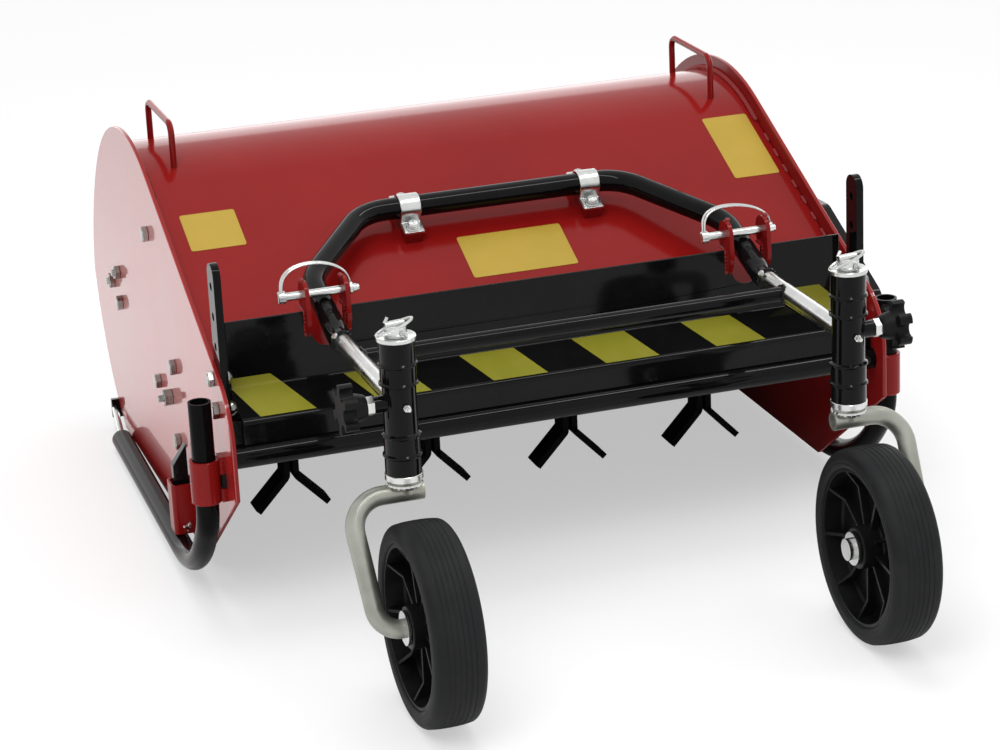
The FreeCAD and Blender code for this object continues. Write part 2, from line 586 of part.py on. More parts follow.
# ---- casters ----------------------------------------------------------------------------
axleZ = sizes["groundLine"] + sizes["wheelRadius"]
axleAt = Vector(-armX, headAt.y - sizes["casterTrail"], axleZ)
forkZ, forkOut, forkIn, hubFace = 250, 326.5, 319.5, 27
forkPoints = [Vector(-armX + 20, headAt.y, forkZ), Vector(-forkOut, headAt.y, forkZ),
              Vector(-forkIn, axleAt.y, axleZ), axleAt - Vector(hubFace + 4, 0, 0)]
forkBends = [36, 26]
forkTube = openTube("ForkTube", forkPoints, forkBends, "Dims.forkTube / 2",
                    "Dims.forkTube / 2 - Dims.forkWall", 6)
stemCope = cylinder("StemCope", "Dims.forkTube / 2 - Dims.forkWall + 0.2", 80,
                    Vector(-armX - 40, headAt.y, forkZ), xAxis)
stem = cut("StemCoped", cylinder("ForkStem", "Dims.stemDia / 2", headHigh - forkZ + 16,
                                 headAt + Vector(0, 0, forkZ)), stemCope)
collarEdges = lines([Vector(0, forkZ + 6, 0), Vector(15, forkZ + 6, 0), Vector(19, forkZ + 14, 0),
                     Vector(20, headLow - 0.3, 0), Vector(0, headLow - 0.3, 0)])
collar = cut("CollarCoped", revolvedBody("ForkCollar", collarEdges, headAt),
             cylinder("CollarCope", "Dims.forkTube / 2 - 0.5", 80,
                      Vector(-armX - 40, headAt.y, forkZ), xAxis))
topDisc = cylinder("ForkDisc", 21.5, 4, headAt + Vector(0, 0, headHigh + 0.4))
fork = fuse("ForkFused", forkTube, stem, collar, topDisc)
axle = fuse("AxleFused", cylinder("AxleRod", "Dims.axleRod / 2", 2 * hubFace + 8,
                                  axleAt - Vector(hubFace + 1, 0, 0), xAxis),
            cylinder("AxleWasher", 19, 3, axleAt + Vector(hubFace + 2, 0, 0), xAxis),
            cylinder("AxlePlate", 19, 3, axleAt - Vector(hubFace + 4, 0, 0), xAxis),
            cylinder("AxleNut", 12.5, 7, axleAt + Vector(hubFace + 5, 0, 0), xAxis))

tyreHalf, wheelR, rimR = sizes["tyreWidth"] / 2, sizes["wheelRadius"], sizes["rimRadius"]
tyreFace = [Vector(rimR, tyreHalf - 3, 0), Vector(wheelR - 12, tyreHalf, 0),
            Vector(wheelR - 6, tyreHalf - 1.5, 0), Vector(wheelR - 2.2, tyreHalf - 5.5, 0),
            Vector(wheelR - 0.7, tyreHalf - 12, 0), Vector(wheelR, tyreHalf - 20, 0)]
tyreEdges = lines(tyreFace + [Vector(p.x, -p.y, 0) for p in reversed(tyreFace)])
tyre = revolvedBody("Tyre", tyreEdges, axleAt, alongX)
hubR, lipHalf, kinkR = 24, tyreHalf - 3.5, 67
rimFace = [Vector(sizes["axleRod"] / 2 + 0.06, -hubFace, 0), Vector(hubR - 1, -hubFace, 0),
           Vector(hubR, 1 - hubFace, 0), Vector(hubR + 1, -5, 0), Vector(hubR + 3, -3, 0),
           Vector(rimR - 9, -3, 0), Vector(rimR - 6.5, -6, 0), Vector(rimR - 4, -lipHalf, 0),
           Vector(rimR - 0.05, -lipHalf, 0)]
rimEdges = lines(rimFace + [Vector(p.x, -p.y, 0) for p in reversed(rimFace)])
rim = revolvedBody("Rim", rimEdges, axleAt, alongX)
ribLine = [Vector(hubR - 2, -13, 0), Vector(kinkR, -13, 0), Vector(rimR - 3, -lipHalf + 1, 0)]
ribLine += [Vector(p.x, -p.y, 0) for p in reversed(ribLine)]
ribSketch = sketchOn(rim, "RibSketch", "XZ_Plane", lines(ribLine))
rib = rim.newObject("PartDesign::Pad", "Rib")
rib.Profile = ribSketch
rib.Length = 4
rib.SideType = "Symmetric"
ribs = rim.newObject("PartDesign::PolarPattern", "Ribs")
ribs.Originals = [rib]
ribs.Axis = (ribSketch, ["V_Axis"])
ribs.Angle = 360
ribs.Occurrences = 9
rim.Tip = ribs

for label, piece in (("caster_fork", fork), ("wheel_axle", axle), ("wheel_rim", rim),
                     ("wheel_tyre", tyre)):
    keep("left_" + label, piece)
    keep("right_" + label, mirrored(piece))

doc.recompute()

# ---- parked pose: wheels and the skids' rear ends on the ground, box centred on the origin
park = Placement(Vector(0, -sizes["parkShift"], -sizes["groundLine"]),
                 Rotation(xAxis, -sizes["parkTilt"]), Vector(0, axleAt.y, sizes["groundLine"]))
for obj in doc.Objects:
    if "Invalid" in obj.State or "Error" in obj.State:
        raise RuntimeError(obj.Name + " " + str(obj.State))
for label, obj in nodes.items():
    if not label.startswith("right_"):
        obj.Placement = park * obj.Placement
doc.recompute()
for label, obj in nodes.items():
    if not obj.Shape.isValid() or not obj.Shape.Solids:
        raise RuntimeError(label + " is not a valid solid")
    obj.Shape.exportStep("parts/%s.step" % label)
    b = obj.Shape.BoundBox
    print(label, len(obj.Shape.Solids), round(obj.Shape.Volume), [round(v, 1) for v in (
        b.XMin, b.XMax, b.YMin, b.YMax, b.ZMin, b.ZMax)])
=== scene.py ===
import bpy
import bmesh
import json
import math
from mathutils import Matrix, Vector

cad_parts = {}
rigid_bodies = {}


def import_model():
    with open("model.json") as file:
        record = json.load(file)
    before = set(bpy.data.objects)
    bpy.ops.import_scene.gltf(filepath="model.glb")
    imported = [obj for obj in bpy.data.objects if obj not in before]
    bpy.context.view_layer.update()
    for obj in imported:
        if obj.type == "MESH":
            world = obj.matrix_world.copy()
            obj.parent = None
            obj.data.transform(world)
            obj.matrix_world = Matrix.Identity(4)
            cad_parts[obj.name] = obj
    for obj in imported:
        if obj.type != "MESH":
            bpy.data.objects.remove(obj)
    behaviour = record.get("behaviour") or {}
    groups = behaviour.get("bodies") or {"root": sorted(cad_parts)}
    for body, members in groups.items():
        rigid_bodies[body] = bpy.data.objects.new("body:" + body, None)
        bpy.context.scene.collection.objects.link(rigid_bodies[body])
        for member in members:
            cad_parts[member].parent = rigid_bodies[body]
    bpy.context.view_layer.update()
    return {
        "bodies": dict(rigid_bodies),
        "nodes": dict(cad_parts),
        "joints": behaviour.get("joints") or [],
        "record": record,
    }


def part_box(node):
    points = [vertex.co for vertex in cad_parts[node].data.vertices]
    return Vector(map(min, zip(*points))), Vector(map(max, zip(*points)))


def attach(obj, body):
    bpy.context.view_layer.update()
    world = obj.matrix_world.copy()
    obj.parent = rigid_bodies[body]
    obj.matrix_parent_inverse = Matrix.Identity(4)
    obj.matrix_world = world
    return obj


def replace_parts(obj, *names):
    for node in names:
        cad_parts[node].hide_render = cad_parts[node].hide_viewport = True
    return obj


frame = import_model()
nodes, bodies, record = frame["nodes"], frame["bodies"], frame["record"]
joints = {joint["name"]: joint for joint in frame["joints"]}

# the deck's own axes, in mm: x to the drive side, y back, z up square to the deck
alongX, alongY, alongZ = (1, 0, 0), (0, 1, 0), (0, 0, 1)
millimetre, perMetre = 0.001, 1000
rotorPlace = {"y": 246, "z": 205}
deckUp = Vector(joints["left_caster_swivel"]["axis"]).normalized()
deckSide = Vector(alongX)
deckBack = deckUp.cross(deckSide)
toRow = Matrix((deckSide, deckBack, deckUp)).transposed().to_4x4()
toRow.translation = (Vector(joints["rotor_spin"]["pos_m"])
                     - deckBack * rotorPlace["y"] * millimetre
                     - deckUp * rotorPlace["z"] * millimetre)
toRow = toRow @ Matrix.Scale(millimetre, 4)
toDeck = toRow.inverted()


def inDeck(place):
    return toDeck @ Vector(place)


def offset(place, step):
    return tuple(a + b for a, b in zip(place, step))


def around(count, spin=0.0, closed=False):  # cosine and sine at even steps round a circle
    angles = [spin + math.tau * k / count for k in range(count + closed)]
    return [(math.cos(a), math.sin(a)) for a in angles]


class Wire:  # one socket, so that shader maths reads as plain sums
    def __init__(self, shader, socket):
        self.shader, self.socket = shader, socket

    def maths(self, kind, *values):
        return self.shader.add("Math", {"operation": kind}, dict(enumerate(values)))

    def __add__(self, other):
        return self.maths("ADD", self, other)

    def __sub__(self, other):
        return self.maths("SUBTRACT", self, other)

    def __rsub__(self, other):
        return self.maths("SUBTRACT", other, self)

    def __mul__(self, other):
        return self.maths("MULTIPLY", self, other)

    def __pow__(self, other):
        return self.maths("POWER", self, other)

    def __rpow__(self, other):
        return self.maths("POWER", other, self)

    __radd__, __rmul__ = __add__, __mul__


# noise detail of each kind of patch, then the levels it fades in between
patchLook = {"drift": (3, 0.35, 0.65), "dust": (6, 0.52, 0.75), "cloud": (4, 0.3, 0.7),
             "stain": (5, 0.5, 0.72), "haze": (4, 0.35, 0.65), "bloom": (5, 0.5, 0.8)}
reliefDetail = {"peel": 1, "brushed": 2, "pits": 3}


class Shader:  # the nodes of one material, or of the world
    def __init__(self, owner):
        self.owner = bpy.data.materials.new(owner) if isinstance(owner, str) else owner
        self.owner.use_nodes = True
        self.tree = self.owner.node_tree
        self.tree.nodes.clear()

    def add(self, kind, settings=None, values=None, output=0):
        node = self.tree.nodes.new("ShaderNode" + kind)
        for name, setting in (settings or {}).items():
            setattr(node, name, setting)
        for name, value in (values or {}).items():
            socket = node.inputs[name]
            if isinstance(value, Wire):
                self.tree.links.new(value.socket, socket)
            elif socket.type == "RGBA" and len(value) == 3:
                socket.default_value = (*value, 1)
            else:
                socket.default_value = value
        return Wire(self, node.outputs[output])

    def place(self):  # where a point is on the object, in metres
        return self.add("TexCoord", output="Object")

    def along(self, place, which):  # one coordinate of a place
        return self.add("SeparateXYZ", None, {"Vector": place}, "XYZ"[which])

    def noise(self, scale, detail, stretch=None):
        at = self.place()
        if stretch:
            at = self.add("VectorMath", {"operation": "MULTIPLY"}, {0: at, 1: stretch})
        return self.add("TexNoise", None, {"Vector": at, "Scale": scale, "Detail": detail})

    def between(self, mask, low, high):  # 0 to 1 between two levels of another value
        return self.add("MapRange", None, {"Value": mask, "From Min": low, "From Max": high})

    def patches(self, kind, scale):
        detail, low, high = patchLook[kind]
        return self.between(self.noise(scale, detail), low, high)

    def blend(self, mask, first, second):  # colours
        return self.add("Mix", {"data_type": "RGBA"}, {"Factor": mask, 6: first, 7: second}, 2)

    def bump(self, height, depth, strength):
        return self.add("Bump", None, {"Height": height, "Distance": depth,
                                       "Strength": strength})

    def seen(self):  # 1 where the camera sees it straight, mirrored or through glass
        rays = [self.add("LightPath", output=ray)
                for ray in ("Is Camera Ray", "Is Glossy Ray", "Is Transmission Ray")]
        return rays[0].maths("MAXIMUM", rays[0], rays[1].maths("MAXIMUM", rays[1], rays[2]))

    def end(self, last, kind="Material"):
        out = self.tree.nodes.new("ShaderNodeOutput" + kind)
        self.tree.links.new(last.socket, out.inputs["Surface"])
        return self.owner

    def surface(self, **values):
        words = {name.replace("_", " "): value for name, value in values.items()}
        return self.end(self.add("BsdfPrincipled", None, words))


def paintFinish(name, look):
    shader = Shader(name)
    drift = shader.patches("drift", look["driftScale"])
    dust = shader.patches("dust", look["dustScale"])
    colour = shader.blend(drift, look["dark"], look["light"])
    colour = shader.blend(dust * look["dustAmount"], colour, look["dust"])
    peel = [shader.noise(look["peelScale"] * finer, reliefDetail["peel"]) * share
            for finer, share in look["peel"]]
    rough = look["rough"] + drift * look["roughDrift"] + dust * look["dustRough"]
    coat = look["coat"]
    if "beyond" in look:  # glossier coat on the faces further out than this, and their red painted lighter there as painted light
        side = shader.along(shader.place(), 0)
        outer = side.maths("GREATER_THAN", side.maths("ABSOLUTE", side), look["beyond"])
        # painted light: a lighter red on the outer faces, as if more light fell on them
        paintedLitOuter = shader.blend(drift, look["outerPaintedLitDark"], look["outerPaintedLitLight"])
        colour = shader.blend(outer, colour, paintedLitOuter)
        coat = outer * (look["outerCoat"] - look["coat"]) + look["coat"]
    if "edgeGloss" in look:  # dark face on, bright along the rounded edges
        facing = shader.add("LayerWeight", None, {"Blend": 0.5}, "Facing")
        coat = facing ** look["edgeGloss"] * (1 - look["coat"]) + look["coat"]
    return shader.surface(Base_Color=colour, Roughness=rough, Coat_Weight=coat,
                          Specular_IOR_Level=look["specular"], Coat_IOR=look["coatIor"],
                          Coat_Roughness=look["coatRough"],
                          Normal=shader.bump(peel[0] + peel[1], look["peelDepth"],
                                             look["bump"]))


def metalFinish(name, look):
    shader = Shader(name)
    cloud = shader.patches("cloud", look["cloudScale"])
    stain = shader.patches("stain", look["cloudScale"] * look["stainSpread"])
    brushed = shader.noise(look["brushScale"], reliefDetail["brushed"], look["brushAlong"])
    colour = shader.blend(cloud, look["dark"], look["light"])
    colour = shader.blend(stain * look["stainAmount"], colour, look["stain"])
    rough = look["rough"] + cloud * look["cloudRough"] + brushed * look["brushRough"]
    pits = shader.noise(look["pitScale"], reliefDetail["pits"])
    height = brushed * look["brushShare"] + pits * (1 - look["brushShare"])
    return shader.surface(Base_Color=colour, Roughness=rough, Metallic=look["metallic"],
                          Normal=shader.bump(height, look["depth"], look["bump"]))


def mouldedFinish(name, look):
    shader = Shader(name)
    grain = shader.add("TexVoronoi", None, {"Vector": shader.place(),
                                            "Scale": look["grainScale"]})
    cloud = shader.patches("haze", look["cloudScale"])
    bloom = shader.patches("bloom", look["cloudScale"] * look["bloomSpread"])
    colour = shader.blend(cloud, look["dark"], look["light"])
    colour = shader.blend(bloom * look["bloomAmount"], colour, look["bloom"])
    rough = look["rough"] + cloud * look["cloudRough"] + bloom * look["bloomRough"]
    return shader.surface(Base_Color=colour, Roughness=rough,
                          Specular_IOR_Level=look["specular"],
                          Normal=shader.bump(grain, look["grainDepth"], look["bump"]))


redLook = {"dark": (0.192, 0.0056, 0.0052), "light": (0.222, 0.0072, 0.0066),
           "dust": (0.27, 0.035, 0.030), "dustAmount": 0.04, "dustRough": 0.06, "dustScale": 30,
           "driftScale": 4, "peelScale": 260, "peel": ((1, 0.7), (2.7, 0.3)),
           "peelDepth": 0.00003, "bump": 0.5, "rough": 0.4, "roughDrift": 0.04, "specular": 0.0,
           "coat": 1.0, "coatRough": 0.13, "coatIor": 1.25}
# side plates: glossy outer faces, whose red is painted lighter there as painted light
plateLook = dict(redLook, specular=0.1, coatRough=0.03, coatIor=1.7, rough=0.3, dustRough=0.0,
                 dustAmount=0.0, peelScale=9, peelDepth=0.0006, coat=0.2, beyond=0.4040,
                 outerPaintedLitDark=(0.36, 0.012, 0.011), outerPaintedLitLight=(0.40, 0.016, 0.015),
                 outerCoat=0.92)
weldLook = dict(redLook, coatRough=0.06, coatIor=1.45)
blackLook = dict(redLook, dark=(0.003, 0.003, 0.0032), light=(0.005, 0.005, 0.0054),
                 dust=(0.05, 0.048, 0.045), dustAmount=0.03, dustRough=0.08, dustScale=45,
                 driftScale=8, peelScale=420, peelDepth=0.00002, roughDrift=0.08,
                 coatRough=0.08, coatIor=1.24)
tubeLook = dict(blackLook, dark=(0.0022, 0.0022, 0.0024), light=(0.0038, 0.0038, 0.0042),
                coat=0.22, coatRough=0.05, coatIor=1.5, edgeGloss=1.3, peelDepth=0.00001)
skidLook = dict(tubeLook, coatIor=1.32, edgeGloss=2.4, coatRough=0.12)
barLook = dict(tubeLook, coat=0.06, coatRough=0.04, coatIor=2.1, edgeGloss=2.2)
rotorLook = dict(blackLook, rough=0.5, dustAmount=0.12, specular=0.08, coat=0.0)
ironLook = dict(blackLook, peelScale=300, peelDepth=0.0005, rough=0.5, dustAmount=0.1,
                specular=0.2, coat=0.0)
yellowLook = dict(redLook, dark=(0.36, 0.243, 0.026), light=(0.39, 0.262, 0.031),
                  dust=(0.5, 0.4, 0.15), dustAmount=0.06, dustRough=0.1, dustScale=60,
                  driftScale=12, peelScale=900, peelDepth=0.00001, rough=0.32,
                  roughDrift=0.05, specular=0.2, coat=0.0, coatRough=0.1, coatIor=1.5)
stripeLook = dict(yellowLook, dark=(0.21, 0.198, 0.016), light=(0.24, 0.225, 0.022),
                  specular=0.12, rough=0.35)
zincLook = {"dark": (0.56, 0.57, 0.56), "light": (0.70, 0.71, 0.70),
            "stain": (0.56, 0.54, 0.45), "stainAmount": 0.25, "stainSpread": 0.35,
            "cloudScale": 26, "cloudRough": 0.1, "brushScale": 160, "brushAlong": (1, 1, 0.15),
            "brushRough": 0.08, "brushShare": 0.5, "pitScale": 500, "depth": 0.000015,
            "bump": 0.4, "rough": 0.14, "metallic": 1.0}
# a darker copy of the zinc for the plate bolts: painted shade, so they and their mirror images
# in the plate read as shaded
shadedBoltZincLook = dict(zincLook, dark=(0.20, 0.195, 0.185), light=(0.42, 0.42, 0.40), rough=0.1)
galvanLook = dict(zincLook, dark=(0.30, 0.303, 0.268), light=(0.40, 0.405, 0.36),
                  stain=(0.27, 0.25, 0.18), stainAmount=0.45, rough=0.32, metallic=0.85,
                  depth=0.00004)
steelLook = dict(zincLook, stain=(0.30, 0.26, 0.22), brushAlong=(1, 0.1, 1), rough=0.3)
plasticLook = {"dark": (0.004, 0.004, 0.0045), "light": (0.007, 0.007, 0.0075),
               "bloom": (0.03, 0.03, 0.03), "bloomAmount": 0.06, "bloomSpread": 4,
               "bloomRough": 0.1, "cloudScale": 15, "cloudRough": 0.1, "grainScale": 900,
               "grainDepth": 0.00008, "bump": 0.35, "rough": 0.34, "specular": 0.12}
rubberLook = dict(plasticLook, dark=(0.0085, 0.0088, 0.0092), light=(0.0135, 0.014, 0.0148),
                  bloom=(0.05, 0.05, 0.048), bloomAmount=0.14, cloudScale=12, grainScale=700,
                  grainDepth=0.00012, rough=0.5, specular=0.13)
flapLook = dict(rubberLook, rough=0.7, grainScale=400)
finishes = {
    "red_paint": paintFinish("redPaint", redLook),
    "black_paint": paintFinish("blackPaint", blackLook),
    "rotor_black": paintFinish("rotorBlack", rotorLook),
    "gear_iron": paintFinish("castIron", ironLook),
    "zinc": metalFinish("zincPlating", zincLook),
    "bare_steel": metalFinish("machinedSteel", steelLook),
    "black_plastic": mouldedFinish("mouldedBlack", plasticLook),
    "tyre": mouldedFinish("tyreRubber", rubberLook),
    "flap_rubber": mouldedFinish("flapRubber", flapLook),
    "sidePaint": paintFinish("sidePlatePaint", plateLook),
    "skidPaint": paintFinish("skidPaint", skidLook),
    "shadedBoltZinc": metalFinish("plateBoltZincPaintedShade", shadedBoltZincLook),
    "weldPaint": paintFinish("glossWeldRed", weldLook),
    "tubePaint": paintFinish("glossTubeBlack", tubeLook),
    "barPaint": paintFinish("glossBarBlack", barLook),
    "galvanised": metalFinish("dullZinc", galvanLook),
    "platePaint": paintFinish("blankPlateYellow", yellowLook),
    "stripePaint": paintFinish("ledgeStripeYellow", stripeLook),
}
print("finishes made:", len(finishes))

# CAD nodes: a finish each, and softened edges
ownFinish = {"side_plates": "sidePaint", "skid_tubes": "skidPaint", "upright_bars": "barPaint",
             "wheel_frame_tube": "tubePaint", "caster_heads": "tubePaint",
             "frame_cross_bar": "tubePaint", "guard_bar": "tubePaint",
             "left_caster_fork": "galvanised", "right_caster_fork": "galvanised"}
edges = {"width": 0.0007, "angle": 32, "segments": 2, "merge": 0.00002, "faceWeight": 80,
         "fine": ("swivel_lock_nuts", "ear_plates", "input_shaft"), "fineTimes": 0.5,
         "broad": ("side_plates", "front_guard", "hood_sheet", "saddle_straps"),
         "broadTimes": 2, "none": ("left_wheel_tyre", "right_wheel_tyre")}
for part in record["subparts"]:
    name = part["node"]
    node = nodes[name]
    node.data.materials.clear()
    node.data.materials.append(finishes[ownFinish.get(name, part["material_slot"])])
    if name in edges["none"]:
        continue
    weld = node.modifiers.new("weldCorners", "WELD")
    weld.merge_threshold = edges["merge"]
    soften = node.modifiers.new("softEdges", "BEVEL")
    soften.width = edges["width"] * (edges["fineTimes"] if name in edges["fine"]
                                     else edges["broadTimes"] if name in edges["broad"] else 1)
    soften.limit_method = "ANGLE"
    soften.angle_limit = math.radians(edges["angle"])
    soften.segments = edges["segments"]
    soften.use_clamp_overlap = True
    even = node.modifiers.new("evenNormals", "WEIGHTED_NORMAL")
    even.weight = edges["faceWeight"]
print("CAD nodes dressed")

smallestRadius = 0.02  # so that no ring of a turned shape closes to a bare point


class Bench:  # gathers small parts of one finish on one body into one piece, in deck mm
    def __init__(self):
        self.mesh = bmesh.new()

    def skin(self, rings, loop=False):  # walls between rings of points, closed at both ends
        rows = [[self.mesh.verts.new(p) for p in ring] for ring in rings]
        count = len(rows[0])
        pairs = list(zip(rows, rows[1:])) + ([(rows[-1], rows[0])] if loop else [])
        for low, high in pairs:
            for k in range(count):
                m = (k + 1) % count
                self.mesh.faces.new((low[k], low[m], high[m], high[k]))
        if not loop:
            self.mesh.faces.new(rows[0][::-1])
            self.mesh.faces.new(rows[-1])

    def turn(self, profile, place, axis, sides=20, spin=0.0):  # (radius, height) along an axis
        axis = Vector(axis).normalized()
        out = axis.orthogonal().normalized()
        across = axis.cross(out)
        place = Vector(place)
        self.skin([[place + axis * height
                    + (out * c + across * s) * max(radius, smallestRadius)
                    for c, s in around(sides, spin)] for radius, height in profile])

    def hollow(self, section, place, sides):  # a ring about z, its section (radius, height)
        place = Vector(place)
        self.skin([[place + Vector((c * r, s * r, h)) for r, h in section]
                   for c, s in around(sides)], loop=True)

    def tube(self, points, radii, loop=False, sides=8):  # a rod along points
        points = [Vector(p) for p in points]
        if not hasattr(radii, "__len__"):
            radii = [radii] * len(points)
        count = len(points)
        rings, side = [], None
        for k, point in enumerate(points):
            before = points[k - 1] if (k or loop) else points[0]
            after = points[(k + 1) % count] if (k < count - 1 or loop) else points[-1]
            along = (after - before).normalized()
            if side is None:
                side = along.orthogonal()
            side = (side - along * side.dot(along)).normalized()
            rise = side.cross(along)
            rings.append([point + (side * c + rise * s) * radii[k] for c, s in around(sides)])
        self.skin(rings, loop)

    def slab(self, corners, thickness, direction):  # a thin plate on a flat outline
        direction = Vector(direction).normalized() * thickness
        base = [Vector(c) for c in corners]
        self.skin([base, [c + direction for c in base]])

    def piece(self, name, body, slotName, finish=None, crease=35):
        self.mesh.transform(toRow)
        bmesh.ops.recalc_face_normals(self.mesh, faces=self.mesh.faces)
        for edge in self.mesh.edges:
            edge.smooth = edge.is_manifold and edge.calc_face_angle(0) < math.radians(crease)
        for face in self.mesh.faces:
            face.smooth = True
        data = bpy.data.meshes.new(name)
        self.mesh.to_mesh(data)
        self.mesh.free()
        made = bpy.data.objects.new(name, data)
        bpy.context.scene.collection.objects.link(made)
        data.materials.append(finishes[finish or slotName])
        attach(made, body)
        return made


def smoothLine(points, steps=6):  # points on a smooth line through all of them
    points = [Vector(p) for p in points]
    last = len(points) - 1
    out = []
    for k in range(last):
        a, b, c, d = [points[min(max(k + m, 0), last)] for m in (-1, 0, 1, 2)]
        for step in range(steps):
            t = step / steps
            out.append(((b * 2) + (c - a) * t + (a * 2 - b * 5 + c * 4 - d) * t * t
                        + (b * 3 - a - c * 3 + d) * t ** 3) / 2)
    return out + [points[-1]]


def evenly(points, pitch):  # the same line with a point every pitch
    out, left = [Vector(points[0])], pitch
    for a, b in zip(points, points[1:]):
        run = (b - a).length
        while left <= run:
            out.append(a + (b - a) * (left / run))
            left += pitch
        left -= run
    return out


beadLook = {"pitch": 0.8, "ripple": 4.6, "swell": 0.22, "rippleShape": 1.5, "sides": 7,
            "endSize": 0.45, "endGrowth": 0.28, "fewest": 4}


def weldBead(bench, points, radius):  # overlapping ripples of a weld
    line = evenly([Vector(p) for p in points], beadLook["pitch"])
    if len(line) < beadLook["fewest"]:
        return
    radii = []
    for k in range(len(line)):
        phase = (k * beadLook["pitch"] / beadLook["ripple"]) % 1
        fromEnd = min(k, len(line) - 1 - k)
        ends = min(1.0, beadLook["endSize"] + beadLook["endGrowth"] * fromEnd)
        swell = beadLook["swell"]
        radii.append(radius * ends
                     * (1 - swell + swell * 2 * phase ** beadLook["rippleShape"]))
    bench.tube(line, radii, sides=beadLook["sides"])


nut = {"washer": ((-0.5, 0), (0, 0.4), (0, 1.3), (-0.5, 1.8)), "washerRise": 1.8,
       "washerSides": 28, "foot": (0.95, 0.6), "top": (0.88, 1), "face": 0.47,
       "faceRise": (-0.3, 0.15), "roundSides": 24, "threads": 4, "threadFrom": 0.8,
       "threadPitch": 1.3, "threadHalf": 0.65, "threadRoot": 0.9, "studTip": (0.85, 6.4),
       "studSides": 16}  # mm, but foot, top, face, root and tip have parts of a radius


def hexNut(bench, place, axis, across, height, spin=0.0, washer=0.0, stud=0.0):
    place, axis = Vector(place), Vector(axis).normalized()
    if washer:
        bench.turn([(washer + out, rise) for out, rise in nut["washer"]], place, axis,
                   nut["washerSides"])
        place = place + axis * nut["washerRise"]
    corner = across / math.sqrt(3)
    (foot, footRise), (top, topDrop) = nut["foot"], nut["top"]
    bench.turn([(corner * foot, 0), (corner, footRise), (corner, height - topDrop),
                (corner * top, height)], place, axis, 6, spin)
    bench.turn([(across * nut["face"], height + rise) for rise in nut["faceRise"]], place, axis,
               nut["roundSides"])
    if stud:
        thread = [(stud, height)]
        for k in range(nut["threads"]):
            low = height + nut["threadFrom"] + k * nut["threadPitch"]
            thread += [(stud, low), (stud * nut["threadRoot"], low + nut["threadHalf"])]
        tip, tipRise = nut["studTip"]
        thread += [(stud * tip, height + tipRise)]
        bench.turn(thread, place, axis, nut["studSides"])


def upright(x, y0, y1, z0, z1):  # the corners of an upright rectangle square to x
    return [(x, y0, z0), (x, y1, z0), (x, y1, z1), (x, y0, z1)]


# deck dimensions that several pieces share
plateSheet = 5
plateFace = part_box("side_plates")[1].x * perMetre  # outer faces of the side plates
plateInside = plateFace - plateSheet
frameTubeRadius = 13.45
hood = {"heelY": 300, "heelZ": 474.1, "slope": 24.8, "topY": 417.6, "topZ": 220, "radius": 280,
        "rim": 20}
hoodTurn = math.radians(hood["slope"])
hoodNormal = Vector((0, -math.sin(hoodTurn), math.cos(hoodTurn)))
hoodRise = Vector((0, math.cos(hoodTurn), math.sin(hoodTurn)))
arms = {"x": 262, "z": 350, "radius": 10.65, "headY": -290, "headRadius": 20, "crossY": -122,
        "crossRadius": 9, "tubeEndY": -62}


def hoodPoint(x, y, proud=0.0):  # a point on the hood's front slope, or proud of it
    drop = (hood["rim"] - proud) / math.cos(hoodTurn)
    return Vector((x, y, hood["heelZ"] - drop + (y - hood["heelY"]) * math.tan(hoodTurn)))


def crownPoint(x, angle):  # a point on the hood's crown, angle from straight up
    reach = hood["radius"] - hood["rim"]
    return Vector((x, hood["topY"] + math.sin(angle) * reach,
                   hood["topZ"] + math.cos(angle) * reach))


# welds: stitches up the hood's slope, one long bead over the crown, the ears, the wheel frame
welds = {"inset": 1, "start": 14, "stitch": 14, "gap": 15, "radius": 3.4, "stopShort": 40,
         "crownRadius": 5.2, "crownSteps": 30, "crownTo": 40.6, "crownRunIn": 24,
         "earX": (-27, -22, 21, 26), "earRadius": 1.9,
         "earLine": ((0.5, 341), (0.5, 371), (6, 372.5), (20, 373)),
         "headStandOff": 1, "headBead": 2.6, "tubeEndStandOff": 1.2, "tubeEndBead": 2.2,
         "crossStandOff": 0.6, "crossBead": 2.2}
ringSteps = 40
redWelds, blackWelds = Bench(), Bench()
slopeEnd = hood["topY"] - math.sin(hoodTurn) * (hood["radius"] - hood["rim"])
crownTurn = math.radians(welds["crownTo"]) + hoodTurn
for side in (-1, 1):
    x = side * (plateInside - welds["inset"])
    y = welds["start"]
    while y < slopeEnd - welds["stopShort"]:
        weldBead(redWelds, [hoodPoint(x, y), hoodPoint(x, y + welds["stitch"])],
                 welds["radius"])
        y += welds["stitch"] + welds["gap"]
    arc = [crownPoint(x, -hoodTurn + crownTurn * k / welds["crownSteps"])
           for k in range(welds["crownSteps"] + 1)]
    weldBead(redWelds, [hoodPoint(x, slopeEnd - welds["crownRunIn"])] + arc,
             welds["crownRadius"])
for side in (-1, 1):
    for step in welds["earX"]:
        weldBead(redWelds, [(side * arms["x"] + step, y, z) for y, z in welds["earLine"]],
                 welds["earRadius"])


def ringAt(centre, axis, radius):
    axis = Vector(axis).normalized()
    out = axis.orthogonal().normalized()
    across = axis.cross(out)
    return [Vector(centre) + (out * c + across * s) * radius
            for c, s in around(ringSteps, closed=True)]


def saddleRing(centre, axis, radius, postAxis, postAt, postRadius):
    # where a tube meets a round post
    axis, postAxis = Vector(axis).normalized(), Vector(postAxis).normalized()
    across = axis.cross(postAxis).normalized()
    level = (Vector(centre) - Vector(postAt)).dot(postAxis) * postAxis
    ring = []
    for c, s in around(ringSteps, closed=True):
        off = across * c * radius + postAxis * s * radius
        reach = math.sqrt(max(postRadius ** 2 - across.dot(off) ** 2, 0))
        ring.append(Vector(postAt) + level + off + axis * reach)
    return ring


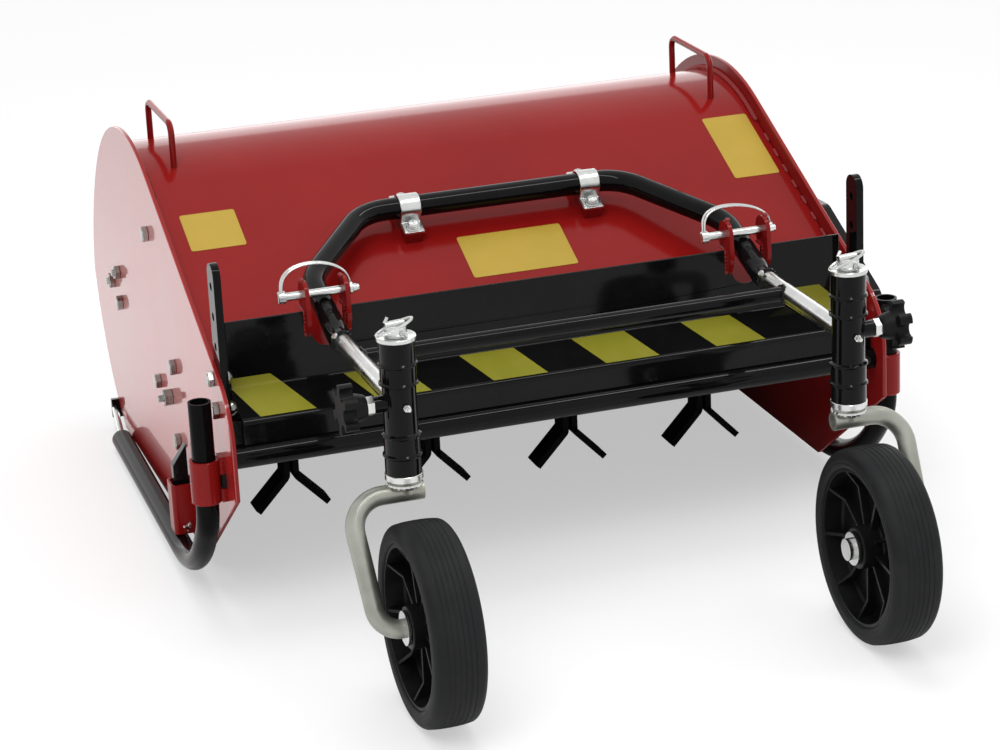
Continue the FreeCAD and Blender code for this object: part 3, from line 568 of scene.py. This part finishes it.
for side in (-1, 1):
    x = side * arms["x"]
    weldBead(blackWelds,
             saddleRing((x, arms["headY"], arms["z"]), alongY,
                        arms["radius"] + welds["headStandOff"],
                        alongZ, (x, arms["headY"], 0), arms["headRadius"]), welds["headBead"])
    weldBead(blackWelds, ringAt((x, arms["tubeEndY"], arms["z"]), alongY,
                                arms["radius"] + welds["tubeEndStandOff"]),
             welds["tubeEndBead"])
    weldBead(blackWelds,
             saddleRing((x, arms["crossY"], arms["z"]), (-side, 0, 0),
                        arms["crossRadius"] + welds["crossStandOff"],
                        alongY, (x, arms["crossY"], arms["z"]), arms["radius"]),
             welds["crossBead"])
redWelds.piece("deck_welds", "deck", "red_paint", "weldPaint")
blackWelds.piece("frame_welds", "wheel_frame", "black_paint")
print("welds made")

# bolts on the side plates
plateBolts = {"places": ((204, 257), (307, 206), (211, 158), (310, 397), (529, 285),
                         (574, 261), (529, 243)),
              "bars": ((-16, 313), (-29, 279)), "across": 17, "height": 7.5,
              "spin": 0.3, "spinStep": 0.7, "barSpin": 0.4, "barSheet": 9,
              "studded": ((529, 285), (574, 261)), "studSides": 14,
              "stud": ((4.6, 0), (4.6, 9.5), (4, 10.5)),
              "axle": (241, 206), "axleAcross": 19, "axleHeight": 11, "axleSpin": 0.2,
              "axleStud": 4.6, "domeSides": 24,
              "dome": ((9.3, 0), (9.3, 1), (8.25, 4.5), (5.7, 7.38), (2.25, 9))}
bolts = Bench()
for k, (y, z) in enumerate(plateBolts["places"] + plateBolts["bars"]):
    hexNut(bolts, (-plateFace, y, z), (-1, 0, 0), plateBolts["across"], plateBolts["height"],
           plateBolts["spin"] + k * plateBolts["spinStep"])
for y, z in plateBolts["studded"]:
    bolts.turn(plateBolts["stud"], (-plateFace, y, z), (-1, 0, 0), plateBolts["studSides"])
hexNut(bolts, (-plateFace, *plateBolts["axle"]), (-1, 0, 0), plateBolts["axleAcross"],
       plateBolts["axleHeight"], plateBolts["axleSpin"], stud=plateBolts["axleStud"])
for y, z in plateBolts["bars"]:  # domed heads on the inner side of both upright bars
    for side in (-1, 1):
        bolts.turn(plateBolts["dome"], (side * (plateInside - plateBolts["barSheet"]), y, z),
                   (-side, 0, 0), plateBolts["domeSides"])
    hexNut(bolts, (plateFace, y, z), alongX, plateBolts["across"], plateBolts["height"],
           plateBolts["barSpin"])
# the plate bolts take the darker zinc of painted shade
bolts.piece("plate_bolts", "deck", "zinc", "shadedBoltZinc")

# skid clamps: a sleeve each, held off the plate by two lugs, with a black slab of painted shade
# in the gap between the lugs
sleeves = {"x": 428, "y": -38, "z": 174, "height": 52, "outer": 17.45, "bore": 13.58,
           "sides": 56, "outerBevel": 0.9, "boreBevel": (0.5, 0.4),
           "lugs": ((173, 189), (207, 228)), "lugReach": 8, "lugOverlap": 1.5,
           "beadRadius": 2.4, "beadSteps": 12, "beadInset": 1,
           "shadeSlabY": (-45, -33), "shadeSlabZ": (189, 207), "shadeSlabDepth": 5.6}
clampBench, shadeSlabBench = Bench(), Bench()
tall, outer, bore = sleeves["height"], sleeves["outer"], sleeves["bore"]
bevel, (boreOut, boreIn) = sleeves["outerBevel"], sleeves["boreBevel"]
front, back = [sleeves["y"] + step * sleeves["lugReach"] for step in (-1, 1)]
for side in (-1, 1):
    clampBench.hollow([(bore, boreIn), (bore + boreOut, 0), (outer - bevel, 0), (outer, bevel),
                       (outer, tall - bevel), (outer - bevel, tall), (bore + boreOut, tall),
                       (bore, tall - boreIn)],
                      (side * sleeves["x"], sleeves["y"], sleeves["z"]), sleeves["sides"])
    for low, high in sleeves["lugs"]:
        clampBench.slab(upright(side * plateFace, front, back, low, high),
                        sleeves["x"] - outer + sleeves["lugOverlap"] - plateFace, (side, 0, 0))
        inset = sleeves["beadInset"]
        for y in (front, back):
            weldBead(clampBench, [(side * (plateFace + inset), y,
                                   low + inset
                                   + (high - low - 2 * inset) * k / sleeves["beadSteps"])
                                  for k in range(sleeves["beadSteps"] + 1)],
                     sleeves["beadRadius"])
    # a black slab set into the gap between the lugs: painted shade, not a real part
    shadeSlabBench.slab(upright(side * plateFace, *sleeves["shadeSlabY"], *sleeves["shadeSlabZ"]),
                  sleeves["shadeSlabDepth"], (side, 0, 0))
shadeSlabBench.piece("sleeve_gap_painted_shade", "deck", "black_paint")
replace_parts(clampBench.piece("skid_sleeves", "deck", "red_paint"), "skid_clamps")

# turned-in ends that close the guard against the side plates
guardEnds = {"x": 383, "y": -55, "z": (231, 271), "sheet": 3}
endBench = Bench()
for side in (-1, 1):
    (low, high), y = guardEnds["z"], guardEnds["y"]
    inner, outer = side * guardEnds["x"], side * plateInside
    endBench.slab([(inner, y, low), (outer, y, low), (outer, y, high), (inner, y, high)],
                  guardEnds["sheet"], alongY)
endBench.piece("guard_ends", "deck", "black_paint")

# the clip at the foot of the skid's guide
guideFoot = {"wire": ((-414, 167, 74), (-416, 150, 77), (-417, 142, 74), (-418, 152, 66),
                      (-420, 172, 56), (-422, 190, 51)), "wireRadius": 1.1,
             "spring": ((-420, 134, 71), (-421, 155, 60), (-423, 186, 47), (-424, 196, 47)),
             "knob": (-413, 147, 73), "knobAxis": (-1, -0.4, 0), "knobNut": (7, 4, 0.2),
             "knobStud": 1.8}
foot = Bench()
for line in ("wire", "spring"):
    foot.tube(smoothLine(guideFoot[line]), guideFoot["wireRadius"])
hexNut(foot, guideFoot["knob"], guideFoot["knobAxis"], *guideFoot["knobNut"],
       stud=guideFoot["knobStud"])
foot.piece("guide_foot_clip", "deck", "zinc")

# saddle straps: two bolts each
straps = {"x": (-107.5, 123.5), "reach": 26, "tubeY": 179, "tubeZ": 426, "gap": 0.08,
          "flange": 3, "across": 12.5, "height": 5, "spin": 0.4, "washer": 8.8}
strapBolts = Bench()
tubeSpot = Vector((0, straps["tubeY"], straps["tubeZ"]))
for x in straps["x"]:
    heel = hoodPoint(x, straps["tubeY"])
    lift = (straps["tubeZ"] - heel.z) * math.cos(hoodTurn)
    top = lift - frameTubeRadius - straps["gap"] + straps["flange"]
    for step in (-1, 1):
        spot = (tubeSpot + Vector((x, 0, 0)) - hoodNormal * (lift - top)
                + hoodRise * straps["reach"] * step)
        hexNut(strapBolts, spot, hoodNormal, straps["across"], straps["height"],
               straps["spin"] * step, straps["washer"])
strapBolts.piece("strap_bolts", "deck", "zinc")
print("bolts made")

# blank yellow plates on the hood, each x0, x1, y0, y1
plates = {"fields": ((-375, -307, 192, 253), (-55, 78, 87, 156), (328, 389, 190, 301)),
          "thickness": 0.5, "corner": 3, "cornerSteps": 4, "proud": 0.02}


def softCorners(x0, x1, y0, y1):  # a rectangle with round corners, on the hood
    out, radius, steps = [], plates["corner"], plates["cornerSteps"]
    for cx, cy, start in ((x1 - radius, y1 - radius, 0), (x0 + radius, y1 - radius, 90),
                          (x0 + radius, y0 + radius, 180), (x1 - radius, y0 + radius, 270)):
        for k in range(steps + 1):
            a = math.radians(start + k * 90 / steps)
            out.append(hoodPoint(cx + math.cos(a) * radius, cy + math.sin(a) * radius,
                                 plates["proud"]))
    return out


blanks = Bench()
for field in plates["fields"]:
    blanks.slab(softCorners(*field), plates["thickness"], hoodNormal)
blanks.piece("blank_plates", "deck", "red_paint", "platePaint")

# slanted stripes on the guard's ledge; two of them run on up its face
stripes = {"starts": (-387, -248, -107, 33, 173, 314), "width": (66, 65, 67, 67, 63, 65),
           "shift": 25, "lift": (12.5, 0, 0, 0, 0, 21), "slant": 1.08, "edge": 381,
           "ledge": ((-56, 273.4), (-3.5, 291.2)), "bend": ((-1.2, 293.6), (0.2, 297)),
           "ledgeLean": (0, -0.3, 0.95), "faceLean": (0, -1, 0), "thickness": 0.35}
ledge = Bench()
frontY, (rearY, rearZ) = stripes["ledge"][0][0], stripes["ledge"][1]
for start, width, lift in zip(stripes["starts"], stripes["width"], stripes["lift"]):
    line = list(stripes["ledge"])
    if lift:
        line += [*stripes["bend"], (stripes["bend"][-1][0], rearZ + lift)]
    rows = []
    for y, z in line:
        along = stripes["shift"] * (rearY - y) / (rearY - frontY)
        if z > rearZ:
            along = -(z - rearZ) * stripes["slant"]
        left, right = [min(max(x + along, -stripes["edge"]), stripes["edge"])
                       for x in (start, start + width)]
        ends = [Vector((left, y, z)), Vector((right, y, z))]
        lean = Vector(stripes["ledgeLean"] if z <= rearZ else stripes["faceLean"])
        rows.append(ends + [p + lean * stripes["thickness"] for p in reversed(ends)])
    ledge.skin(rows)
ledge.piece("ledge_stripes", "deck", "black_paint", "stripePaint")
print("plates and stripes made")

# bow clips of the lock pins: two wire strands side by side, a hinge, a tip and a collar
bows = {"starts": (-317, 206), "y": 7, "z": 390, "hingeX": 4, "archFoot": 4, "archSteps": 28,
        "wire": 1.35, "wireSides": 10, "apart": 1.5, "spread": 1.4, "lean": 6,
        "rise": (31, 30), "roundness": 0.8, "span": (82, 86), "skew": (1.15, 1.4),
        "hinge": ((4.4, 0), (5, 0.6), (5, 12.4), (4.4, 13)), "hingeDrop": 6.5,
        "tip": ((2.6, 0), (3.3, 0.7), (3.3, 9.3), (2.6, 10)), "tipDrop": 3, "tipSides": 16,
        "collar": ((6, 0), (7, 0.8), (7, 4), (6, 4.8)), "collarX": 84}
clips = Bench()
for start, rise, span, skew in zip(bows["starts"], bows["rise"], bows["span"], bows["skew"]):
    hingeX = start + bows["hingeX"]
    for strand in (-1, 1):
        arch = []
        for step in range(bows["archSteps"] + 1):
            a = math.pi * step / bows["archSteps"]
            t = (1 - math.cos(a)) / 2
            arch.append((hingeX + span * t ** skew,
                         bows["y"] + bows["lean"] * math.sin(a)
                         + strand * bows["apart"] * (1 + bows["spread"] * (1 - t)),
                         bows["z"] + bows["archFoot"]
                         + rise * math.sin(a) ** bows["roundness"]))
        clips.tube(arch, bows["wire"], sides=bows["wireSides"])
    clips.turn(bows["hinge"], (hingeX, bows["y"], bows["z"] - bows["hingeDrop"]), alongZ)
    clips.turn(bows["tip"], (hingeX + span, bows["y"], bows["z"] - bows["tipDrop"]), alongZ,
               bows["tipSides"])
    clips.turn(bows["collar"], (start + bows["collarX"], bows["y"], bows["z"]), alongX)
clips.piece("pin_bows", "deck", "zinc")

# round knobs on top of the ears
knobs = {"x": (-288.5, -241.5, 289.5, 240.5), "y": 7, "z": 407, "radius": 3.6, "steps": 8,
         "sides": 16}
arc = [math.pi * k / knobs["steps"] for k in range(knobs["steps"] + 1)]
ball = [(knobs["radius"] * math.sin(a), -knobs["radius"] * math.cos(a)) for a in arc]
earKnobs = Bench()
for x in knobs["x"]:
    earKnobs.turn(ball, (x, knobs["y"], knobs["z"]), alongZ, knobs["sides"])
earKnobs.piece("ear_knobs", "deck", "red_paint", "weldPaint")

# each caster's bright cap, lynch pin, and the bearing ring and weld under its head
lynch = {"z": 428.4, "capSides": 48, "stemSides": 28,
         "cap": ((21.3, -4.2), (21.8, -3.7), (21.8, -0.3), (21.2, 0.35), (17.5, 0.35),
                 (16.8, 0.1)),
         "stem": ((12.3, 0), (12.7, 0.5), (12.7, 3), (12.2, 3.5), (12.2, 11.4), (11.2, 12)),
         "screwAt": (4, -12, 4.6), "screwAxis": (0.25, -1, 0.1), "screwNut": (6.5, 2.6, 0.3),
         "screwStud": 1.8,
         "barrel": ((3.4, 0), (4.3, 0.8), (4.3, 21), (3.4, 21.8)), "barrelAt": (-12, -1, 12.6),
         "barrelAxis": (1, 0, 0.05), "barrelSides": 18,
         "tail": ((1.9, 0), (1.9, 7)), "tailAt": (-11, 3, 14), "tailAxis": (0.55, 0.3, 0.75),
         "tailSides": 10, "ring": (20, 8), "ringAt": (-2, -2, 10.5), "ringPoints": 28,
         "ringWire": 1.7, "ringSides": 9, "tilt": 0.36,
         "bearing": ((18, -7.4), (20.4, -7.4), (20.9, -6.9), (20.9, -0.6), (20.4, -0.1),
                     (18, -0.1)), "bearingZ": 273.8,
         "beadZ": 261, "beadAt": 17.6, "beadRadius": 2.6}
for side, body in ((-1, "left_caster"), (1, "right_caster")):
    pins = Bench()
    x, y = side * arms["x"], arms["headY"]
    top = (x, y, lynch["z"])
    pins.turn(lynch["cap"], top, alongZ, lynch["capSides"])
    pins.turn(lynch["stem"], top, alongZ, lynch["stemSides"])
    hexNut(pins, offset(top, lynch["screwAt"]), lynch["screwAxis"], *lynch["screwNut"],
           stud=lynch["screwStud"])
    pins.turn(lynch["barrel"], offset(top, lynch["barrelAt"]), lynch["barrelAxis"],
              lynch["barrelSides"])
    pins.turn(lynch["tail"], offset(top, lynch["tailAt"]), lynch["tailAxis"],
              lynch["tailSides"])
    (wide, deep), middle = lynch["ring"], offset(top, lynch["ringAt"])
    pins.tube([offset(middle, (c * wide, s * deep, c * wide * lynch["tilt"]))
               for c, s in around(lynch["ringPoints"])],
              lynch["ringWire"], loop=True, sides=lynch["ringSides"])
    pins.hollow(lynch["bearing"], (x, y, lynch["bearingZ"]), lynch["capSides"])
    weldBead(pins, [(x + c * lynch["beadAt"], y + s * lynch["beadAt"], lynch["beadZ"])
                    for c, s in around(ringSteps, closed=True)], lynch["beadRadius"])
    pins.piece(body + "_lynch_pin", body, "zinc")

# grease nipples on the caster heads, and a set screw on each arm
screws = {"z": 352.5, "out": (1.75, -19.9, 0), "seat": 0.97, "nut": (8, 3, 0.2), "sides": 14,
          "nipple": ((2.6, 3), (2.6, 5), (1.7, 5.7), (1.7, 6.4), (2.4, 7), (2.4, 8),
                     (1.2, 8.6)),
          "armAt": (-9.5, -68, 359.5), "armAxis": (-0.7, 0, 0.7), "armNut": (7, 3, 0.5)}
smallScrews = Bench()
out = Vector(screws["out"])
for side in (-1, 1):
    spot = Vector((side * arms["x"], arms["headY"], screws["z"]))
    hexNut(smallScrews, spot + out * screws["seat"], out, *screws["nut"])
    smallScrews.turn(screws["nipple"], spot + out, out, screws["sides"])
    hexNut(smallScrews, offset((side * arms["x"], 0, 0), screws["armAt"]), screws["armAxis"],
           *screws["armNut"])
smallScrews.piece("small_screws", "wheel_frame", "zinc")
print("clips, pins and nipples made")

# tyres: crowned tread with fine grooves, one fine ring round each side wall
tread = {"grooves": 6, "grooveWidth": 1.2, "grooveDepth": 0.5, "grooveTop": 0.75,
         "grooveFoot": 0.4, "span": 42, "segments": 144, "crease": 50, "crownDrop": 1.3,
         "crownShape": 2.6, "seat": 90.5, "seatIn": (3, 1.2), "seatRise": 1.5,
         "ringAt": 98, "ringDepth": 0.25, "ringFoot": 0.5, "ringTop": 1.1, "wallIn": 0.3,
         "shoulderSteps": 6, "shoulderIn": (12.5, 9), "shoulderRound": (11.2, 8.7)}


def tyreProfile(radius, halfWidth):  # (radius, offset) once round the section
    seat, ring, wall = tread["seat"], tread["ringAt"], halfWidth - tread["wallIn"]
    half = [(seat, halfWidth - tread["seatIn"][0]),
            (seat + tread["seatRise"], halfWidth - tread["seatIn"][1]),
            (ring - tread["ringTop"], wall),
            (ring - tread["ringFoot"], wall - tread["ringDepth"]),
            (ring + tread["ringFoot"], wall - tread["ringDepth"]),
            (ring + tread["ringTop"], wall)]
    (radiusIn, widthIn), (rise, bulge) = tread["shoulderIn"], tread["shoulderRound"]
    for k in range(tread["shoulderSteps"] + 1):
        a = math.pi / 2 * k / tread["shoulderSteps"]
        half.append((radius - radiusIn + math.sin(a) * rise,
                     halfWidth - widthIn + math.cos(a) * bulge))

    def high(across):  # the crowned tread's radius this far from its middle
        part = abs(across) / (halfWidth - widthIn)
        return radius - tread["crownDrop"] * part ** tread["crownShape"]

    crown = []
    step = tread["span"] / (tread["grooves"] + 1)
    width, depth = tread["grooveWidth"], tread["grooveDepth"]
    top, foot = width * tread["grooveTop"], width * tread["grooveFoot"]
    for k in range(tread["grooves"]):
        mid = tread["span"] / 2 - step * (k + 1)
        crown += [(high(mid + top), mid + top), (high(mid + width / 2) - depth, mid + foot),
                  (high(mid) - depth, mid - foot), (high(mid - top), mid - top)]
        if k < tread["grooves"] - 1:
            crown.append((high(mid - step / 2), mid - step / 2))
    return half + crown + [(r, -o) for r, o in reversed(half)]


for side in ("left", "right"):
    node = side + "_wheel_tyre"
    low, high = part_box(node)
    hub = inDeck(joints[side + "_wheel_spin"]["pos_m"])
    profile = tyreProfile((high.z - low.z) * perMetre / 2, (high.x - low.x) * perMetre / 2)
    tyre = Bench()
    tyre.skin([[hub + Vector((o, c * r, s * r)) for r, o in profile]
               for c, s in around(tread["segments"])], loop=True)
    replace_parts(tyre.piece(side + "_tyre_grooved", side + "_wheel", "tyre",
                           crease=tread["crease"]), node)
print("tyres made")

# floor, room light and lamps
studio = {"floorSize": 60, "floorDrop": 0.0005, "floorShade": 0.5, "fadeFrom": 1.3,
          "fadeTo": 4.0, "paperDark": (0.87, 0.87, 0.87), "paperLight": (0.90, 0.90, 0.90),
          "paperScale": 3, "paperDetail": 4, "fillLow": 0.42, "fillHigh": 0.78,
          "fillFrom": -0.1, "fillTo": 0.9}
lamps = {"keyLight": {"place": (-1.4, -1.8, 3.0), "aim": (0, 0, 0.2), "size": 1.8,
                      "power": 46},
         "sideLight": {"place": (2.6, -1.2, 2.0), "aim": (0, 0, 0.2), "size": 1.6,
                       "power": 16},
         "topLight": {"place": (0.1, 0.9, 3.0), "aim": (0, 0.1, 0.3), "size": 2.2,
                      "power": 46},
         "backGlow": {"place": (1.0, 3.2, 0.8), "aim": (0, 0, 0.3), "size": 8.0,
                      "power": 38.5, "tall": 1.5, "mirrored": True},
         "edgeStrip": {"place": (0.85, -0.9, 3.0), "aim": (0, 0, 0.3), "size": 4.0,
                       "power": 36, "tall": 0.25, "mirrored": True}}


def floorFinish():  # the object's shadow stays, and the floor fades to white further out
    shader = Shader("paleFloor")
    far = shader.add("VectorMath", {"operation": "LENGTH"}, {0: shader.place()}, "Value")
    white = shader.between(far, studio["fadeFrom"], studio["fadeTo"])
    grain = shader.noise(studio["paperScale"], studio["paperDetail"])
    paper = shader.blend(grain, studio["paperDark"], studio["paperLight"])
    matt = shader.add("BsdfDiffuse", None, {"Color": paper})
    glow = shader.add("Emission", None, {"Color": (1, 1, 1), "Strength": 1.0})
    near = shader.add("LightPath", output="Is Camera Ray") * studio["floorShade"]
    mask = shader.seen() * (white + near * (1 - white))
    return shader.end(shader.add("MixShader", None, {0: mask, 1: matt, 2: glow}))


floorMesh = bpy.data.meshes.new("studioFloor")
reach = studio["floorSize"] / 2
floorMesh.from_pydata([(-reach, -reach, 0), (reach, -reach, 0), (reach, reach, 0),
                       (-reach, reach, 0)], [], [(0, 1, 2, 3)])
floor = bpy.data.objects.new("studioFloor", floorMesh)
floor.location.z = -studio["floorDrop"]
bpy.context.scene.collection.objects.link(floor)
floorMesh.materials.append(floorFinish())

world = bpy.data.worlds.new("studioWorld")
bpy.context.scene.world = world
sky = Shader(world)
height = sky.between(sky.along(sky.add("TexCoord", output="Generated"), 2),
                     studio["fillFrom"], studio["fillTo"])
fill = height * (studio["fillHigh"] - studio["fillLow"]) + studio["fillLow"]
level = sky.add("Mix", {"data_type": "FLOAT"}, {0: sky.seen(), 2: fill, 3: 1.0})
sky.end(sky.add("Background", None, {"Color": (1, 1, 1), "Strength": level}), "World")


def softLight(name, place, aim, size, power, tall=None, mirrored=False):
    lamp = bpy.data.lights.new(name, "AREA")
    lamp.shape, lamp.size, lamp.energy = "SQUARE", size, power
    if tall:
        lamp.shape, lamp.size_y = "RECTANGLE", tall
    made = bpy.data.objects.new(name, lamp)
    made.location = place
    made.rotation_euler = (Vector(aim) - Vector(place)).to_track_quat("-Z", "Y").to_euler()
    made.visible_glossy = mirrored  # polished faces mirror the room and two softboxes only
    made.visible_diffuse = not mirrored
    made.visible_camera = False
    bpy.context.scene.collection.objects.link(made)


for name, lamp in lamps.items():
    softLight(name, **lamp)

# camera
view = {"place": (-1.05628, -3.27550, 1.48012), "heading": 17.7205, "pitch": 20.7251,
        "roll": -2.2983, "lens": 106.596, "sensor": 36, "clip": (0.05, 100)}
lens = bpy.data.cameras.new("studioCamera")
lens.lens, lens.sensor_width = view["lens"], view["sensor"]
lens.clip_start, lens.clip_end = view["clip"]
camera = bpy.data.objects.new("studioCamera", lens)
bpy.context.scene.collection.objects.link(camera)
heading, pitch = math.radians(view["heading"]), math.radians(view["pitch"])
look = Vector((math.sin(heading) * math.cos(pitch), math.cos(heading) * math.cos(pitch),
               -math.sin(pitch)))
turnTo = look.to_track_quat("-Z", "Y").to_matrix().to_4x4()
camera.matrix_world = (Matrix.Translation(view["place"]) @ turnTo
                       @ Matrix.Rotation(math.radians(view["roll"]), 4, "Z"))
bpy.context.scene.camera = camera
bpy.context.scene.view_settings.view_transform = "Standard"
print("studio set")
